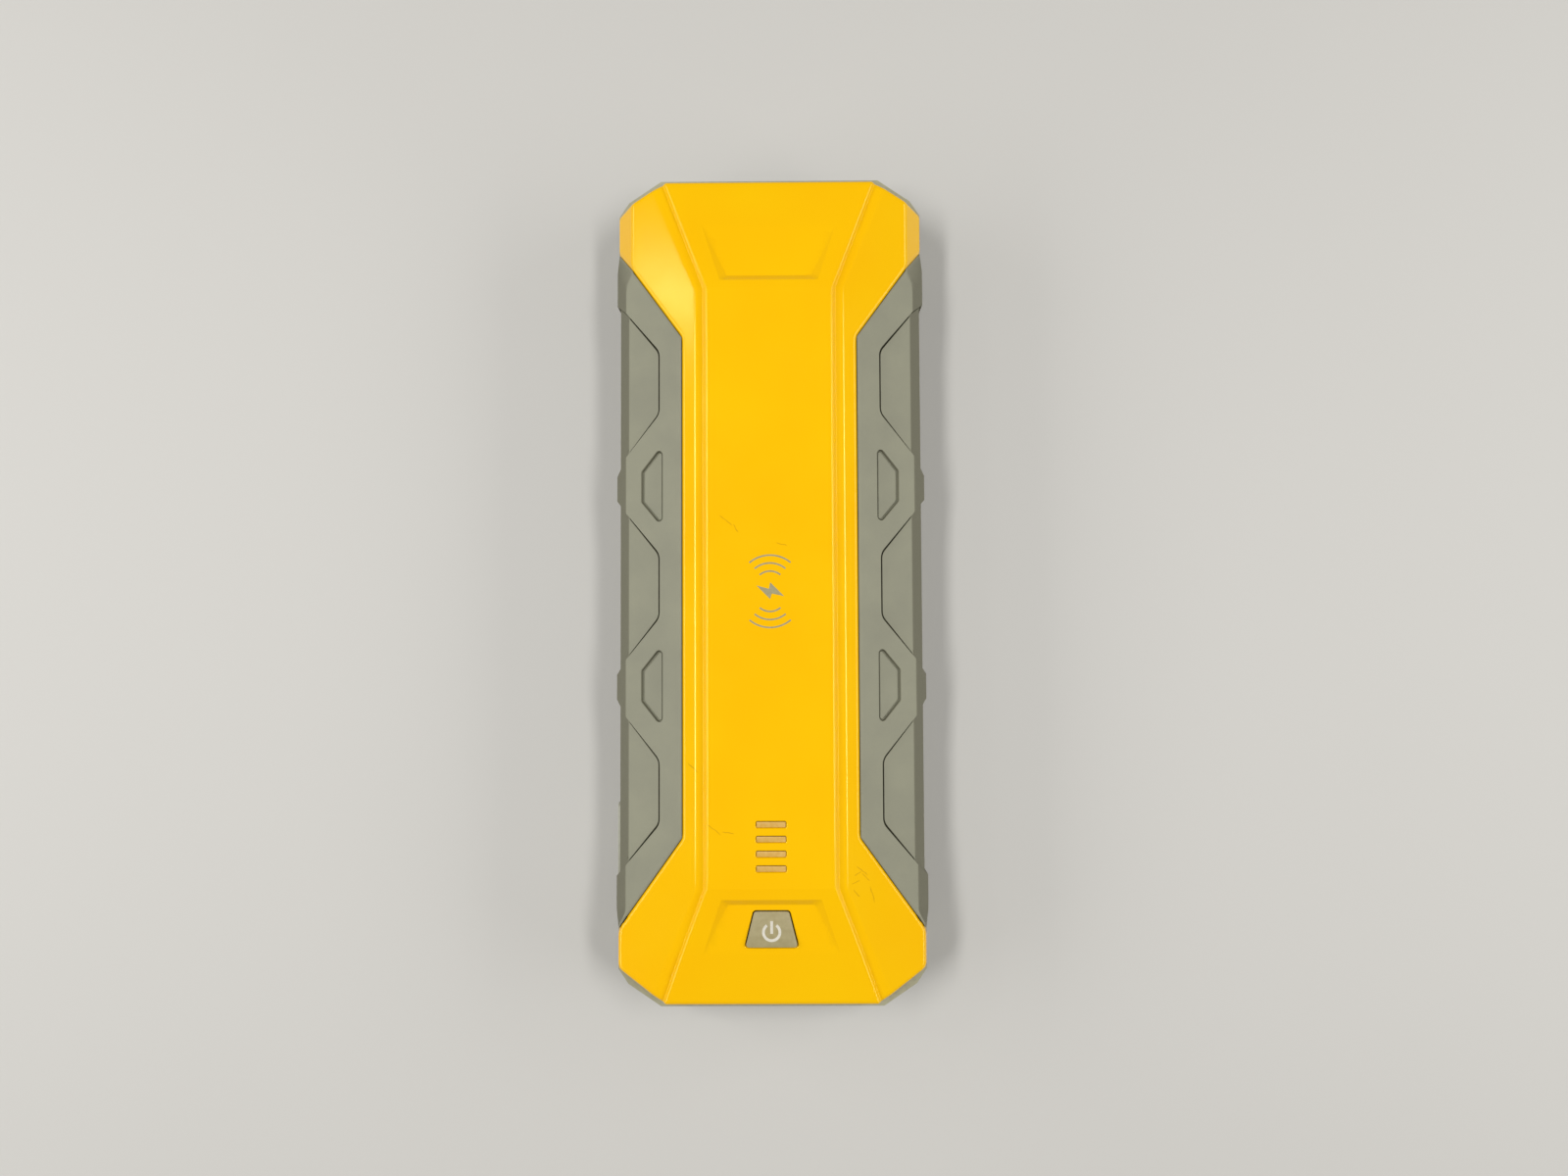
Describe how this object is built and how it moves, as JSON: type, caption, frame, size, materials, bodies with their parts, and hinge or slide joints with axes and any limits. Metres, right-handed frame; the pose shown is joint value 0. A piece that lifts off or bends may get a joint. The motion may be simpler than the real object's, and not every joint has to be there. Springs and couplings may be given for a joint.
{
  "type": "jump starter pack",
  "caption": "Hand-held jump starter pack: faceted yellow cover, grey base, soft side grips, power button, charge slots, side jump-lead socket with rubber flap, USB ports and torch.",
  "frame": {"origin": "middle of the footprint, on the floor the feet stand on", "axes": "+Y along the case towards the torch end, away from the button; +Z out of the yellow panel; +X to the right of the panel"},
  "size_m": [0.088, 0.2346, 0.035],
  "materials": {
    "gloss_yellow_abs": "gloss moulded ABS",
    "textured_grey_abs": "fine spark-textured ABS",
    "soft_touch_grip": "matte soft-touch elastomer",
    "button_plastic": "satin",
    "light_guide": "frosted polycarbonate",
    "black_rubber": "matte moulded rubber",
    "grey_rubber": "satin moulded rubber",
    "steel": "zinc plated",
    "brass": "gold plated",
    "nickel": "nickel strip",
    "laminate": "solder mask on glass laminate",
    "pouch_foil": "embossed pouch foil",
    "black_nylon": "moulded nylon",
    "blue_nylon": "moulded nylon",
    "white_resin": "moulded resin",
    "metallised_plastic": "vacuum metallised",
    "clear_lens": "clear polycarbonate",
    "ferrite": "pressed ferrite",
    "enamelled_copper": "enamelled copper wire",
    "foam": "closed-cell foam",
    "red_sleeve": "silicone",
    "black_sleeve": "silicone",
    "white_sleeve": "PVC"
  },
  "bodies": {
    "case": {"base_shell": "textured_grey_abs", "battery_cell_1": "pouch_foil", "battery_cell_2": "pouch_foil", "battery_cell_3": "pouch_foil", "battery_cell_4": "pouch_foil", "battery_lead_negative": "black_sleeve", "battery_lead_positive": "red_sleeve", "battery_tray": "black_nylon", "board_screw_1": "steel", "board_screw_2": "steel", "board_screw_3": "steel", "capacitor_1": "black_sleeve", "capacitor_2": "black_sleeve", "case_screw_1": "steel", "case_screw_2": "steel", "case_screw_3": "steel", "case_screw_4": "steel", "case_screw_5": "steel", "case_screw_6": "steel", "cell_link_1": "nickel", "cell_link_2": "nickel", "cell_link_3": "nickel", "charging_coil": "enamelled_copper", "coil_board": "laminate", "coil_lead": "white_sleeve", "ferrite_sheet": "ferrite", "foam_pad": "foam", "front_cover": "gloss_yellow_abs", "heat_spreader": "nickel", "inductor": "ferrite", "jump_socket_contact_negative": "brass", "jump_socket_contact_positive": "brass", "jump_socket_housing": "blue_nylon", "left_grip": "soft_touch_grip", "light_guide": "light_guide", "main_board": "laminate", "port_cover_anchor": "grey_rubber", "right_grip": "soft_touch_grip", "rubber_foot_1": "black_rubber", "rubber_foot_2": "black_rubber", "rubber_foot_3": "black_rubber", "rubber_foot_4": "black_rubber", "status_led_1": "white_resin", "status_led_2": "white_resin", "status_led_3": "white_resin", "status_led_4": "white_resin", "switch_body": "black_nylon", "torch_board": "laminate", "torch_lead": "black_sleeve", "torch_led": "white_resin", "torch_lens": "clear_lens", "torch_reflector": "metallised_plastic", "usb_a_shell": "steel", "usb_a_tongue": "black_nylon", "usb_c_shell": "steel", "usb_c_tongue": "black_nylon"},
    "power_button": {"power_button": "button_plastic"},
    "switch_plunger": {"switch_plunger": "white_resin"},
    "port_cover": {"port_cover": "grey_rubber"}
  },
  "joints": [
    {"name": "power_button_press", "type": "slide", "parent": "case", "child": "power_button", "axis": [0, 0, -1], "range_m": [0, 0.0006], "stiffness_N_per_m": 2500},
    {"name": "switch_plunger_press", "type": "slide", "parent": "case", "child": "switch_plunger", "axis": [0, 0, -1], "range_m": [0, 0.0006]},
    {"name": "port_cover_hinge", "type": "hinge", "parent": "case", "child": "port_cover", "pos_m": [-0.04335, -0.0607, 0.0128], "axis": [0, 0, -1], "range_deg": [0, 110], "stiffness_Nm_per_rad": 0.001}
  ],
  "couplings": [
    {"joint": "switch_plunger_press", "follows": "power_button_press", "ratio": 1}
  ]
}
